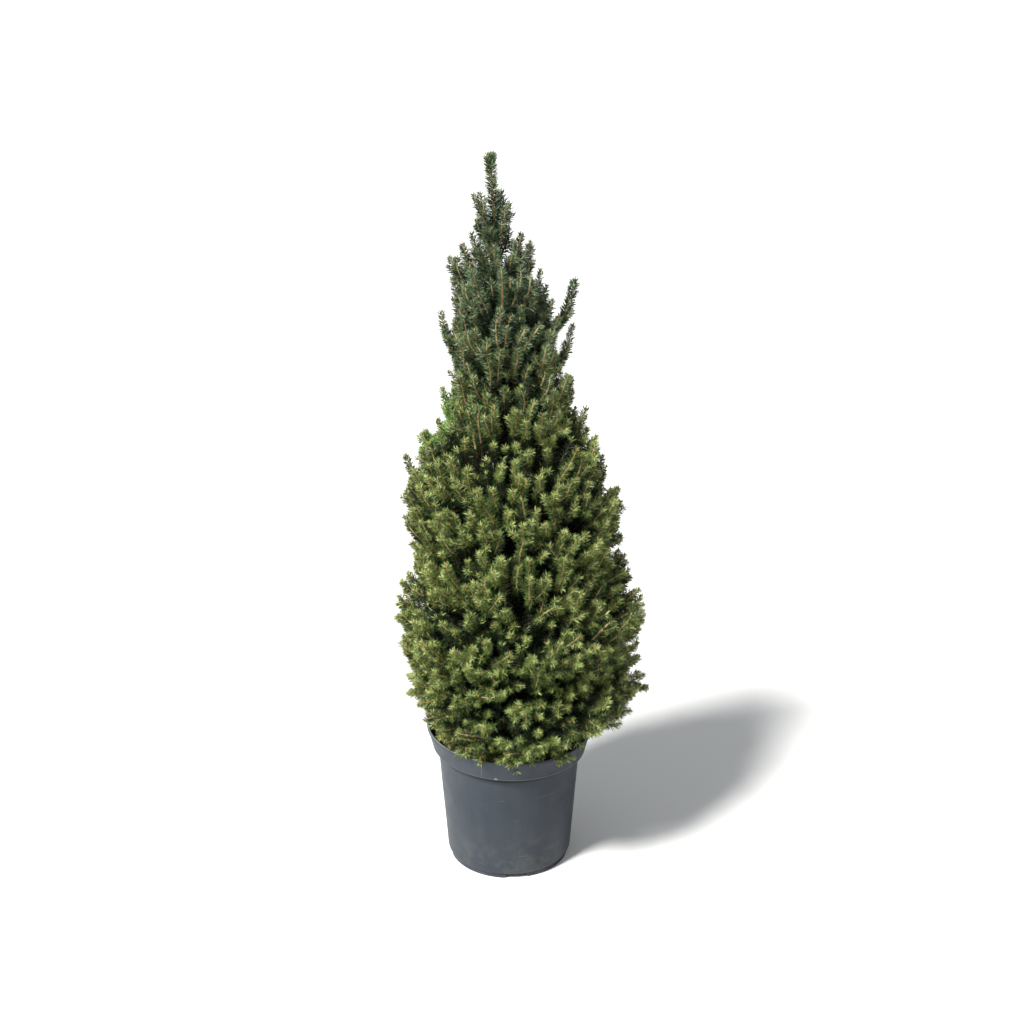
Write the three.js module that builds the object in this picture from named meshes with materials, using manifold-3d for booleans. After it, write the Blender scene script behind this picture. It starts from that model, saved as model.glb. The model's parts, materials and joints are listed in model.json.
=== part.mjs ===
// A dwarf Alberta spruce in its nursery pot, in millimetres, +Z up.
// The origin is the centre of the flat pad under the pot. The pot and its root ball are
// lathe-turned, the trunk and boughs are tapering limbs, and each mass of needles is one
// uneven plume, trimmed where it meets its neighbours and cut round the trunk.
import * as THREE from "three";
import { mergeVertices } from "three/addons/utils/BufferGeometryUtils.js";
import Module from "manifold-3d";

const wasm = await Module();
wasm.setup();

// ---------------------------------------------------------------- driving dimensions
const GAP = 0.3; // left between pieces that touch

const POT_HEIGHT = 220;
const RIM_RADIUS = 130; // outside, at the top of the collar
const COLLAR_HEIGHT = 34;
const COLLAR_FOOT_RADIUS = 119.5; // outside, where the collar turns inwards
const LIP = { height: 3, bevel: 1, out: 1.2, thickness: 2.6 }; // bead round the top edge
const COLLAR_TURN = 3; // height of the rounded turn under the collar
const BODY_TOP_RADIUS = 110.5;
const FOOT_RADIUS = 96.5;
const WALL = 2;
const SKIRT = 8; // height of the foot skirt and of the raised drain channel
const SKIRT_THICKNESS = 2.4;
const PAD_RADIUS = 58; // flat pad in the middle of the underside
const PAD_SLOPE = 4; // how far the pad's edge slopes out on its way up to the channel
const NOTCH = { count: 4, foot: 40, head: 28, height: 7.5, turn: -83 };
const DRAIN = { count: 8, ring: 76, radius: 6 };
const POT_SIDES = 32; // flat sides of everything turned round the pot's axis

const SOIL_TOP = 190;
const SOIL_LEVEL_RADIUS = 40; // the mix is level inside this, and uneven outside it
const SOIL_WAVE = 0.8; // half height of its unevenness
const TREE_TOP = 1106; // the needle tips of the leader
const TRUNK_TIP = 1088;
const TRUNK_BASE_RADIUS = 14;
const TRUNK_TIP_RADIUS = 1.6;
const ROOT_FLARE = 9; // added to the base radius, dying out a few centimetres up
const ROOT_FLARE_DECAY = 38;
const TRUNK_RINGS = 16;
const TRUNK_SIDES = 10;
const LEADER_OFFSET = -25; // how far the leader's tip stands from the pot's axis, along X

// One row for each whorl of foliage, from the top down. height and ring place the middle of
// its plumes, shift moves the whorl along X, rise is the plumes' slope above level, and
// length, breadth and depth are half sizes along, across and under a plume.
const WHORLS = [
  whorl("crest", { count: 4, turn: 20 }, { height: 917, ring: 33, shift: -14, rise: 80 }, [76, 38, 32]),
  whorl("upper", { count: 4, turn: 62 }, { height: 832, ring: 40, shift: -2, rise: 74 }, [88, 60, 46]),
  whorl("shoulder", { count: 5, turn: 8 }, { height: 736, ring: 52, shift: 3, rise: 66 }, [90, 66, 58]),
  whorl("mid", { count: 5, turn: 44 }, { height: 634, ring: 76, shift: -1, rise: 53 }, [88, 82, 70]),
  whorl("belly", { count: 6, turn: 14 }, { height: 524, ring: 82, shift: 9, rise: 41 }, [92, 84, 72]),
  whorl("lower", { count: 6, turn: 46 }, { height: 410, ring: 104, shift: 17, rise: 24 }, [86, 94, 70]),
  whorl("skirt", { count: 7, turn: 18 }, { height: 296, ring: 112, shift: 21, rise: 6 }, [78, 84, 66]),
];
const FRONT_SAG = 24; // how much lower the skirt hangs towards -Y, over the pot's rim
const BOUGH_WHORLS = ["lower", "skirt"]; // whorls that stand clear of the trunk on visible boughs
const BOUGH_DROP = 34; // how far below its plume a bough leaves the trunk
const BOUGH_RADIUS = 5.5;
const BOUGH_TIP_RADIUS = 3.2;
const BLUE_FROM = 800; // masses whose middles stand higher than this are blue-green

// The leader's needles, a long lone plume to the right of the crest, and a single shoot that
// reaches out past the rim.
const LEADER = { middle: 1030, length: TREE_TOP - 1030, breadth: 23, depth: 21 };
const RIGHT_PLUME = { middle: [76, -4, 870], rise: 70, length: 56, breadth: 18, depth: 16 };
const RIGHT_BOUGH = { foot: 760, radii: [3.4, 2] };
const STRAY_SHOOT = { middle: [158, -22, 229], rise: -6, length: 19, breadth: 9, depth: 8 };
const STRAY_BOUGH = { foot: 262, radii: [2.6, 1.5] };

// The shape of every plume: how much narrower its tip is than its middle, how bumpy its skin
// is, and how far apart two plumes can stand, in their own sizes, and still be trimmed.
const PLUME_TAPER = 0.28;
const PLUME_BUMP = 0.06;
const NEIGHBOUR_RANGE = 1.45;

function whorl(name, spread, place, [length, breadth, depth]) {
  return { name, ...spread, ...place, length, breadth, depth };
}

// ---------------------------------------------------------------- small helpers
// The same stream of numbers between 0 and 1 for the same seed.
function randomStream(seed) {
  let state = seed;
  return () => {
    state = (state + 0x6d2b79f5) | 0;
    let t = Math.imul(state ^ (state >>> 15), 1 | state);
    t = (t + Math.imul(t ^ (t >>> 7), 61 | t)) ^ t;
    return ((t ^ (t >>> 14)) >>> 0) / 4294967296;
  };
}

const radians = THREE.MathUtils.degToRad;

function solidOf(geometry) {
  const bare = geometry.clone();
  for (const name of ["normal", "uv"]) bare.deleteAttribute(name);
  const merged = mergeVertices(bare, 1e-3);
  return new wasm.Manifold(
    new wasm.Mesh({
      numProp: 3,
      vertProperties: new Float32Array(merged.attributes.position.array),
      triVerts: new Uint32Array(merged.index.array),
    }),
  );
}

function geometryOf(solid) {
  const { numProp, vertProperties, triVerts } = solid.getMesh();
  const corners = new Float32Array((vertProperties.length / numProp) * 3);
  for (let i = 0; i < corners.length / 3; i++)
    corners.set(vertProperties.subarray(i * numProp, i * numProp + 3), i * 3);
  const geometry = new THREE.BufferGeometry();
  geometry.setAttribute("position", new THREE.BufferAttribute(corners, 3));
  geometry.setIndex(new THREE.BufferAttribute(triVerts, 1));
  geometry.computeVertexNormals();
  return geometry;
}

// The largest body of a solid: a cut can leave crumbs beside it.
function mainBody(solid) {
  return solid.decompose().reduce((a, b) => (b.volume() > a.volume() ? b : a));
}

// Turns a profile of [radius, height] points round +Z.
function turned(profile, segments) {
  const points = profile.map(([r, z]) => new THREE.Vector2(r, z));
  return new THREE.LatheGeometry(points, segments).rotateX(Math.PI / 2);
}

// A closed tapering limb of round section along a curve; radiusAt takes 0 at its foot to 1 at its tip.
// Every ring is level when flat is true, so that the foot is a flat cut.
function limb(curve, radiusAt, rings, sides, flat = false) {
  const corners = [];
  const faces = [];
  const up = new THREE.Vector3(0, 0, 1);
  for (let i = 0; i <= rings; i++) {
    const t = i / rings;
    const middle = curve.getPoint(t);
    const along = flat ? up : curve.getTangent(t);
    const turn = new THREE.Quaternion().setFromUnitVectors(up, along);
    for (let k = 0; k < sides; k++) {
      const a = (2 * Math.PI * k) / sides;
      const spoke = new THREE.Vector3(Math.cos(a), Math.sin(a), 0).multiplyScalar(radiusAt(t));
      corners.push(...middle.clone().add(spoke.applyQuaternion(turn)).toArray());
      const next = (k + 1) % sides;
      if (i < rings) {
        const [a0, b0, a1, b1] = [k, next, k + sides, next + sides].map((n) => n + i * sides);
        faces.push(a0, b0, b1, a0, b1, a1);
      }
    }
  }
  const last = rings * sides;
  for (let k = 1; k < sides - 1; k++) {
    faces.push(0, k + 1, k);
    faces.push(last, last + k, last + k + 1);
  }
  const geometry = new THREE.BufferGeometry();
  geometry.setAttribute("position", new THREE.Float32BufferAttribute(corners, 3));
  geometry.setIndex(faces);
  return geometry;
}

// ---------------------------------------------------------------- pot and root ball
function wallRadius(z) {
  return FOOT_RADIUS + ((BODY_TOP_RADIUS - FOOT_RADIUS) * z) / (POT_HEIGHT - COLLAR_HEIGHT);
}

// The rounded turn from the body out to the collar, as quarter-ellipse points.
function collarTurn(inset) {
  const ledge = POT_HEIGHT - COLLAR_HEIGHT;
  const inner = wallRadius(ledge) - inset;
  const outer = COLLAR_FOOT_RADIUS - inset;
  return [0, 1, 2].map((i) => {
    const a = (Math.PI / 4) * i;
    return [inner + (outer - inner) * Math.sin(a), ledge + inset + COLLAR_TURN * (1 - Math.cos(a))];
  });
}

function makePot() {
  const channel = SKIRT;
  const skirtInside = FOOT_RADIUS - SKIRT_THICKNESS;
  const profile = [
    [0, 0],
    [PAD_RADIUS, 0],
    [PAD_RADIUS + PAD_SLOPE, channel],
    [skirtInside - 0.6, channel],
    [skirtInside, 0],
    [FOOT_RADIUS, 0],
    [wallRadius(SKIRT), SKIRT],
    ...collarTurn(0),
    [RIM_RADIUS - LIP.out, POT_HEIGHT - LIP.height - LIP.bevel],
    [RIM_RADIUS, POT_HEIGHT - LIP.height],
    [RIM_RADIUS, POT_HEIGHT],
    [RIM_RADIUS - LIP.thickness, POT_HEIGHT],
    [RIM_RADIUS - LIP.out - WALL, POT_HEIGHT - LIP.height - LIP.bevel],
    ...collarTurn(WALL).reverse(),
    [wallRadius(channel) - WALL, channel + WALL],
    [PAD_RADIUS + PAD_SLOPE - WALL, channel + WALL],
    [PAD_RADIUS - WALL, WALL],
    [0, WALL],
  ];
  let pot = solidOf(turned(profile, POT_SIDES));
  for (let i = 0; i < NOTCH.count; i++) {
    const outline = new THREE.Shape([
      new THREE.Vector2(-NOTCH.foot / 2, -1),
      new THREE.Vector2(NOTCH.foot / 2, -1),
      new THREE.Vector2(NOTCH.head / 2, NOTCH.height),
      new THREE.Vector2(-NOTCH.head / 2, NOTCH.height),
    ]);
    const cutter = new THREE.ExtrudeGeometry(outline, { depth: 30, bevelEnabled: false })
      .rotateX(Math.PI / 2)
      .rotateZ(Math.PI / 2)
      .translate(FOOT_RADIUS - 20, 0, 0)
      .rotateZ(radians(NOTCH.turn + (360 * i) / NOTCH.count));
    pot = pot.subtract(solidOf(cutter));
  }
  for (let i = 0; i < DRAIN.count; i++) {
    const a = radians(NOTCH.turn + (360 * i) / DRAIN.count);
    const cutter = new THREE.CylinderGeometry(DRAIN.radius, DRAIN.radius, 20, 8)
      .rotateX(Math.PI / 2)
      .translate(DRAIN.ring * Math.cos(a), DRAIN.ring * Math.sin(a), channel);
    pot = pot.subtract(solidOf(cutter));
  }
  return pot;
}

// Potting mix: it follows the pot's inside, flat where the trunk stands and uneven round it.
function makeRootBall() {
  const inside = (z) => wallRadius(z) - WALL - GAP;
  const floor = SKIRT + WALL + GAP;
  const ledge = POT_HEIGHT - COLLAR_HEIGHT;
  const overLedge = COLLAR_FOOT_RADIUS - WALL - GAP - 2;
  const profile = [
    [0, WALL + GAP],
    [PAD_RADIUS - WALL - GAP, WALL + GAP],
    [PAD_RADIUS - WALL - GAP, floor],
    [inside(floor), floor],
    [inside(ledge), ledge],
    [inside(ledge), ledge + 1],
    [overLedge - 8, SOIL_TOP - 2],
    [0.75 * overLedge, SOIL_TOP - 1],
    [1.5 * SOIL_LEVEL_RADIUS, SOIL_TOP - 1],
    [SOIL_LEVEL_RADIUS - 2, SOIL_TOP],
    [0, SOIL_TOP],
  ];
  const geometry = turned(profile, POT_SIDES);
  const places = geometry.attributes.position;
  for (let i = 0; i < places.count; i++) {
    const [x, y, z] = [places.getX(i), places.getY(i), places.getZ(i)];
    const r = Math.hypot(x, y);
    if (z < SOIL_TOP - 1.5 || r < SOIL_LEVEL_RADIUS) continue;
    places.setZ(i, z + SOIL_WAVE * (2 * Math.sin(x / 19) * Math.cos(y / 23) - 1));
  }
  return solidOf(geometry);
}

// ---------------------------------------------------------------- trunk and boughs
// The trunk's middle line: upright from the pot, then leaning towards the leader.
const trunkLine = new THREE.CatmullRomCurve3([
  new THREE.Vector3(0, 0, SOIL_TOP + GAP),
  new THREE.Vector3(3, 1, SOIL_TOP + 170),
  new THREE.Vector3(2, -3, SOIL_TOP + 400),
  new THREE.Vector3(-9, 2, SOIL_TOP + 650),
  new THREE.Vector3(LEADER_OFFSET, 0, TRUNK_TIP),
]);

function trunkRadius(t) {
  const taper = TRUNK_TIP_RADIUS + (TRUNK_BASE_RADIUS - TRUNK_TIP_RADIUS) * (1 - t) ** 1.1;
  return taper + ROOT_FLARE * Math.exp(-t * ROOT_FLARE_DECAY);
}

function trunkPoint(height) {
  let low = 0;
  let high = 1;
  for (let i = 0; i < 24; i++) {
    const t = (low + high) / 2;
    if (trunkLine.getPoint(t).z < height) low = t;
    else high = t;
  }
  return trunkLine.getPoint(low);
}

function makeTrunk(grown) {
  const line = grown ? new THREE.CatmullRomCurve3(trunkLine.points.map((p) => p.clone())) : trunkLine;
  if (grown) {
    line.points[0].z -= 3;
    line.points[line.points.length - 1].z += 2 * GAP;
  }
  const radiusAt = (t) => trunkRadius(t) + (grown ? GAP : 0);
  return solidOf(limb(line, radiusAt, TRUNK_RINGS, TRUNK_SIDES, true));
}

// A bough leaves the trunk below its plume and sweeps up into it.
function makeBough(plume, foot, radius, tipRadius, grown) {
  const bend = foot.clone().lerp(plume.middle, 0.55);
  bend.z -= 0.12 * foot.distanceTo(plume.middle);
  const line = new THREE.QuadraticBezierCurve3(foot, bend, plume.middle.clone());
  const radiusAt = (t) => radius + (tipRadius - radius) * t + (grown ? GAP : 0);
  return solidOf(limb(line, radiusAt, 4, 6));
}

// ---------------------------------------------------------------- masses of needles
// A plume is a stretched ball, narrower towards its tip, with a few broad, seeded bumps.
function plumeFrom(name, middle, azimuth, sizes, seed) {
  const rise = radians(sizes.rise);
  const along = new THREE.Vector3(
    Math.cos(azimuth) * Math.cos(rise),
    Math.sin(azimuth) * Math.cos(rise),
    Math.sin(rise),
  );
  const across = new THREE.Vector3(-Math.sin(azimuth), Math.cos(azimuth), 0);
  const under = new THREE.Vector3().crossVectors(along, across);
  return { name, middle, along, across, under, sizes, seed };
}

function bumpAt(plume, direction) {
  const random = randomStream(plume.seed);
  let bump = 0;
  for (let i = 0; i < 4; i++) {
    const wave = new THREE.Vector3(random() - 0.5, random() - 0.5, random() - 0.5);
    bump += Math.sin(wave.setLength(2.6 + i).dot(direction) + 6.28 * random());
  }
  return 1 + PLUME_BUMP * bump * (1 - direction.x ** 2);
}

// A point on the plume's skin in a unit direction of its own frame: x along, y across, z under.
function plumePoint(plume, direction, grow) {
  const { length, breadth, depth } = plume.sizes;
  const side = bumpAt(plume, direction) * (1 - PLUME_TAPER * direction.x);
  return plume.middle
    .clone()
    .addScaledVector(plume.along, direction.x * (length + grow))
    .addScaledVector(plume.across, direction.y * (breadth * side + grow))
    .addScaledVector(plume.under, direction.z * (depth * side + grow));
}

function makePlume(plume, grow = 0) {
  const [around, rows] = plume.sizes.breadth > 30 ? [10, 6] : [7, 5];
  const geometry = new THREE.SphereGeometry(1, around, rows).rotateZ(-Math.PI / 2);
  const places = geometry.attributes.position;
  for (let i = 0; i < places.count; i++) {
    const direction = new THREE.Vector3().fromBufferAttribute(places, i).normalize();
    places.setXYZ(i, ...plumePoint(plume, direction, grow).toArray());
  }
  return solidOf(geometry);
}

// How far a plume reaches from its middle in a world direction.
function reachTowards(plume, direction) {
  const local = new THREE.Vector3(
    direction.dot(plume.along) / plume.sizes.length,
    direction.dot(plume.across) / plume.sizes.breadth,
    direction.dot(plume.under) / plume.sizes.depth,
  );
  return 1 / local.length();
}

// A plume trimmed on the planes where it meets its neighbours, half a gap short of each.
function trimmedPlume(plume, plumes, grow = 0) {
  let solid = makePlume(plume, grow);
  for (const neighbour of plumes) {
    const towards = neighbour.middle.clone().sub(plume.middle);
    const apart = towards.length();
    if (apart === 0) continue;
    towards.normalize();
    const mine = reachTowards(plume, towards);
    const theirs = reachTowards(neighbour, towards);
    if (apart > NEIGHBOUR_RANGE * (mine + theirs)) continue;
    const share = (apart * mine) / (mine + theirs);
    const limit = plume.middle.dot(towards) + share - GAP / 2 + grow;
    solid = solid.trimByPlane(towards.clone().negate().toArray(), -limit);
  }
  return solid;
}

function listPlumes() {
  const plumes = [];
  const random = randomStream(7);
  for (const whorl of WHORLS) {
    const axis = trunkPoint(whorl.height).x;
    const centre = whorl.shift + (BOUGH_WHORLS.includes(whorl.name) ? 0 : 0.4 * axis);
    for (let i = 0; i < whorl.count; i++) {
      const azimuth = radians(whorl.turn + (360 * i) / whorl.count + 9 * (random() - 0.5));
      const ring = whorl.ring * (1 + 0.1 * (random() - 0.5));
      const lift = 0.22 * whorl.depth * (random() - 0.5);
      const sag = whorl.name === "skirt" ? FRONT_SAG * Math.max(0, -Math.sin(azimuth)) ** 3 : 0;
      const middle = new THREE.Vector3(
        centre + ring * Math.cos(azimuth),
        ring * Math.sin(azimuth),
        whorl.height + lift - sag,
      );
      const sizes = { ...whorl, length: whorl.length * (1 + 0.12 * (random() - 0.5)) };
      plumes.push(plumeFrom(whorl.name + "_" + (i + 1), middle, azimuth, sizes, 100 + plumes.length));
    }
  }
  const leader = { ...LEADER, rise: 90 };
  plumes.push(plumeFrom("leader", trunkPoint(LEADER.middle), 0, leader, 41));
  plumes.push(plumeFrom("right_plume", new THREE.Vector3(...RIGHT_PLUME.middle), 0, RIGHT_PLUME, 42));
  plumes.push(plumeFrom("stray_shoot", new THREE.Vector3(...STRAY_SHOOT.middle), -0.15, STRAY_SHOOT, 43));
  return plumes;
}

// ---------------------------------------------------------------- the whole plant
const paint = {
  pot: new THREE.MeshStandardMaterial({ color: 0x596168, roughness: 0.6 }),
  mix: new THREE.MeshStandardMaterial({ color: 0x2b211a, roughness: 1 }),
  bark: new THREE.MeshStandardMaterial({ color: 0x8a6544, roughness: 0.9 }),
  blueNeedles: new THREE.MeshStandardMaterial({ color: 0x3c5238, roughness: 0.8 }),
  needles: new THREE.MeshStandardMaterial({ color: 0x55702f, roughness: 0.8 }),
};

const plant = new THREE.Group();

function addNode(name, solid, material) {
  const mesh = new THREE.Mesh(geometryOf(solid), material);
  mesh.name = name;
  plant.add(mesh);
}

addNode("pot", makePot(), paint.pot);
addNode("root_ball", makeRootBall(), paint.mix);
addNode("trunk", makeTrunk(false), paint.bark);

const plumes = listPlumes();
const byName = Object.fromEntries(plumes.map((plume) => [plume.name, plume]));
const grownTrunk = makeTrunk(true);

// Where each visible bough starts, and how thick it is.
const boughs = plumes
  .filter((plume) => BOUGH_WHORLS.some((name) => plume.name.startsWith(name + "_")))
  .map((plume) => ({
    plume,
    foot: trunkPoint(plume.middle.z - BOUGH_DROP),
    radii: [BOUGH_RADIUS, BOUGH_TIP_RADIUS],
  }));
for (const [name, bough] of Object.entries({ right_plume: RIGHT_BOUGH, stray_shoot: STRAY_BOUGH }))
  boughs.push({ plume: byName[name], foot: trunkPoint(bough.foot), radii: bough.radii });

// Each bough is cut short of the trunk, of the boughs before it and of its own plume.
let taken = grownTrunk;
for (const bough of boughs) {
  const whole = makeBough(bough.plume, bough.foot, ...bough.radii, false);
  const ownPlume = trimmedPlume(bough.plume, plumes, GAP);
  addNode("bough_" + bough.plume.name, mainBody(whole.subtract(taken).subtract(ownPlume)), paint.bark);
  bough.grown = makeBough(bough.plume, bough.foot, ...bough.radii, true);
  taken = taken.add(bough.grown);
}

// The lowest masses rest on the rim and hang a little way down outside it.
const rimRadius = RIM_RADIUS + 2 * GAP;
const keptClear = new THREE.CylinderGeometry(rimRadius, rimRadius, 100, POT_SIDES)
  .rotateX(Math.PI / 2)
  .translate(0, 0, POT_HEIGHT + GAP - 50);
const grownPot = solidOf(keptClear);

for (const plume of plumes) {
  let solid = trimmedPlume(plume, plumes).subtract(grownTrunk).subtract(grownPot);
  for (const bough of boughs) {
    if (bough.plume !== plume) solid = solid.subtract(bough.grown);
  }
  const needles = plume.middle.z > BLUE_FROM ? paint.blueNeedles : paint.needles;
  addNode(plume.name, mainBody(solid), needles);
}

export default plant;
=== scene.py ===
import json
import math

import bmesh
import bpy
import numpy as np
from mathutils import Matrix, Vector, noise
from mathutils.bvhtree import BVHTree
from mathutils.kdtree import KDTree


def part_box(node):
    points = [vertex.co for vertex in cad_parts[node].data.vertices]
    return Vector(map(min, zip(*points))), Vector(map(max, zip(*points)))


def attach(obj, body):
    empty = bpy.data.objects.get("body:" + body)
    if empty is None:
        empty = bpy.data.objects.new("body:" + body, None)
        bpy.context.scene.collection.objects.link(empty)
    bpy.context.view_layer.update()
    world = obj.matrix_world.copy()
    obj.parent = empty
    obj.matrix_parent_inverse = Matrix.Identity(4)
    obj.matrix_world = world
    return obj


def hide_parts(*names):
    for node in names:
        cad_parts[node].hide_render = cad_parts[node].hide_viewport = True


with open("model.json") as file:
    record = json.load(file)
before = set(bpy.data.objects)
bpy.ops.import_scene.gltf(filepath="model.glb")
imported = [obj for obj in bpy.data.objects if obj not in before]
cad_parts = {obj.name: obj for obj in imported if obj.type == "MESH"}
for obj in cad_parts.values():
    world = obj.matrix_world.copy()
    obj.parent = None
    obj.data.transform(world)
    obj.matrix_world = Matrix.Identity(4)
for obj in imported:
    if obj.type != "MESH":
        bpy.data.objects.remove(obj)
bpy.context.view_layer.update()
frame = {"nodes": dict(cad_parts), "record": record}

# ------------------------------------------------------------------ the nursery pot
# A round container of slate-grey plastic, injection moulded in one piece. The wall widens
# upwards to a deep collar that is turned out over it, and the foot is a low skirt with
# four notches that let water run out from the raised channel underneath.
pot_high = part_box("pot")[1]
pot_height = pot_high.z
rim_radius = pot_high.x - 0.002
collar_foot = pot_height - 0.034  # the underside of the collar
collar_radius = 0.1195
collar_edge = 0.0015
wall_top_radius = 0.1105
foot_radius = 0.0965
foot_ring_height = 0.0066
skirt_height = 0.008
wall = 0.002
pad_radius = 0.058
notch_count = 4
notch_turn = math.radians(-83)
notch_foot, notch_head, notch_height = 0.040, 0.028, 0.0075
drain_count = 8
drain_ring = 0.076
drain_radius = 0.006
rim_lift, rim_tilt = 0.0015, 0.032  # the top has settled a little out of level


def arc(centre, radii, start, end, steps):
    """Points of an elliptical arc in the (radius, height) plane, angles in degrees."""
    angles = np.radians(np.linspace(start, end, steps))
    return [(centre[0] + radii[0] * math.cos(a), centre[1] + radii[1] * math.sin(a)) for a in angles]


def straight(first, last, steps):
    """Evenly spaced points between two profile points, without the ends."""
    return [tuple(np.array(first) + (np.array(last) - np.array(first)) * i / steps) for i in range(1, steps)]


def wall_radius(z):
    return foot_radius + (wall_top_radius - foot_radius) * z / collar_foot


foot_ring = foot_radius - 0.0028
groove_top = collar_foot + 0.0025
outside = (
    [(0, 0), (pad_radius * 0.5, 0), (pad_radius - 0.001, 0)]
    + arc((pad_radius - 0.001, 0.001), (0.001, 0.001), -90, -20, 4)
    + [(pad_radius + 0.0036, skirt_height - 0.0005), (pad_radius + 0.005, skirt_height)]
    + [(foot_ring - 0.0036, skirt_height), (foot_ring - 0.003, skirt_height - 0.0006)]
    + [(foot_ring - 0.0022, 0.0006), (foot_ring - 0.0016, 0)]
    + arc((foot_ring - 0.0009, 0.0009), (0.0009, 0.0009), -90, 0, 5)
    + [(foot_ring + 0.0003, foot_ring_height - 0.0008)]
    + arc((foot_ring - 0.0003, foot_ring_height - 0.0006), (0.0006, 0.0006), 0, 90, 4)
    + [(foot_ring - 0.0012, foot_ring_height + 0.0002)]
    + arc((foot_ring - 0.0006, 0.0155), (wall_radius(0.0155) - foot_ring + 0.0006, 0.0085), -80, 0, 8)
    + straight((wall_radius(0.0155), 0.0155), (wall_radius(groove_top), groove_top), 14)
    + [(wall_top_radius, groove_top), (wall_top_radius + 0.0028, groove_top)]
    + [(wall_top_radius + 0.0036, collar_foot + 0.0004), (wall_top_radius + 0.0044, collar_foot)]
    + arc((collar_radius - collar_edge, collar_foot + collar_edge), (collar_edge, collar_edge), -90, 0, 7)
    + straight((collar_radius, collar_foot + collar_edge), (rim_radius - 0.0015, pot_height - 0.0048), 6)
    + [(rim_radius - 0.0015, pot_height - 0.0048)]
    + arc((rim_radius - 0.0013, pot_height - 0.0036), (0.0013, 0.0009), -70, 0, 5)
    + arc((rim_radius - 0.0012, pot_height - 0.0012), (0.0012, 0.0012), 0, 90, 6)
)
inside = (
    arc((rim_radius - 0.0024, pot_height - 0.0010), (0.0008, 0.0010), 90, 180, 5)
    + [(rim_radius - 0.0036, pot_height - 0.006)]
    + straight((rim_radius - 0.0036, pot_height - 0.006), (collar_radius - 0.0034, collar_foot + 0.009), 6)
    + arc((collar_radius - 0.0054, collar_foot + 0.009), (0.002, 0.003), 0, -90, 6)
    + arc((wall_top_radius - wall + 0.002, collar_foot + 0.004), (0.002, 0.002), 90, 180, 5)
    + straight((wall_radius(collar_foot) - wall, collar_foot), (wall_radius(0.012) - wall, 0.012), 10)
    + [(wall_radius(0.012) - wall - 0.001, skirt_height + wall), (pad_radius + 0.003, skirt_height + wall)]
    + [(pad_radius - 0.001, wall), (pad_radius * 0.5, wall), (0, wall)]
)


def lathe(name, profile, angles, bulge=None):
    """Turns a profile round +Z at the given angles; bulge(x, y, z) gives a small outward move."""
    rings = [(r, z) for r, z in profile if r > 0]
    sides = len(angles)
    verts = np.array([(r * math.cos(a), r * math.sin(a), z) for r, z in rings for a in angles])
    if bulge is not None:
        out = np.array([bulge(*v) for v in verts])
        verts[:, :2] *= (1 + out / np.maximum(np.hypot(verts[:, 0], verts[:, 1]), 1e-6))[:, None]
    centres = [(0, 0, profile[0][1]), (0, 0, profile[-1][1])]
    faces = []
    for k in range(len(rings) - 1):
        for i in range(sides):
            j = (i + 1) % sides
            faces.append((k * sides + i, k * sides + j, (k + 1) * sides + j, (k + 1) * sides + i))
    start, last = len(verts), len(verts) + 1
    top = (len(rings) - 1) * sides
    for i in range(sides):
        j = (i + 1) % sides
        faces.append((start, j, i))
        faces.append((last, top + i, top + j))
    mesh = bpy.data.meshes.new(name)
    mesh.from_pydata([*verts.tolist(), *centres], [], faces)
    mesh.validate()
    piece = bpy.data.objects.new(name, mesh)
    bpy.context.scene.collection.objects.link(piece)
    return piece


def smooth_by_angle(piece, degrees):
    """Shades smooth, with a crease wherever two faces meet at more than the angle."""
    piece.data.shade_smooth()
    piece.data.set_sharp_from_angle(angle=math.radians(degrees))


# The two halves of the mould meet along a hair-fine raised line up the collar.
seam_angles = [math.radians(-110), math.radians(70)]
seam_height = 0.0005
seam_width = math.radians(0.4)


def seam_bulge(x, y, z):
    if z < skirt_height or math.hypot(x, y) < wall_radius(z) - 0.0008:
        return 0.0
    angle = math.atan2(y, x)
    near = min(abs((angle - s + math.pi) % (2 * math.pi) - math.pi) for s in seam_angles)
    on_collar = 1.0 if z > groove_top else 0.12
    uneven = 0.0002 * math.sin(5 * angle + 1.3) * math.sin(z * 31)
    return seam_height * on_collar * math.exp(-((near / seam_width) ** 2)) + uneven


round_angles = list(np.linspace(0, 2 * math.pi, 180, endpoint=False))
for seam in seam_angles:
    round_angles += [(seam + seam_width * k / 2) % (2 * math.pi) for k in range(-5, 6)]
pot = lathe("pot_shell", outside + inside, sorted(round_angles), seam_bulge)

# The top of the pot is higher on the left, and the wall takes up the difference.
level_below = 0.12
for vertex in pot.data.vertices:
    settled = min(max((vertex.co.z - level_below) / (collar_foot - level_below), 0), 1)
    vertex.co.z += settled * (rim_lift - rim_tilt * vertex.co.x)


def cut_away(piece, cutter):
    """Subtracts one closed mesh from another and deletes the cutter."""
    cut = piece.modifiers.new("cut", "BOOLEAN")
    cut.operation = "DIFFERENCE"
    cut.solver = "EXACT"
    cut.object = cutter
    done = bpy.data.meshes.new_from_object(piece.evaluated_get(bpy.context.evaluated_depsgraph_get()))
    piece.modifiers.clear()
    piece.data = done
    bpy.data.objects.remove(cutter)


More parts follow.
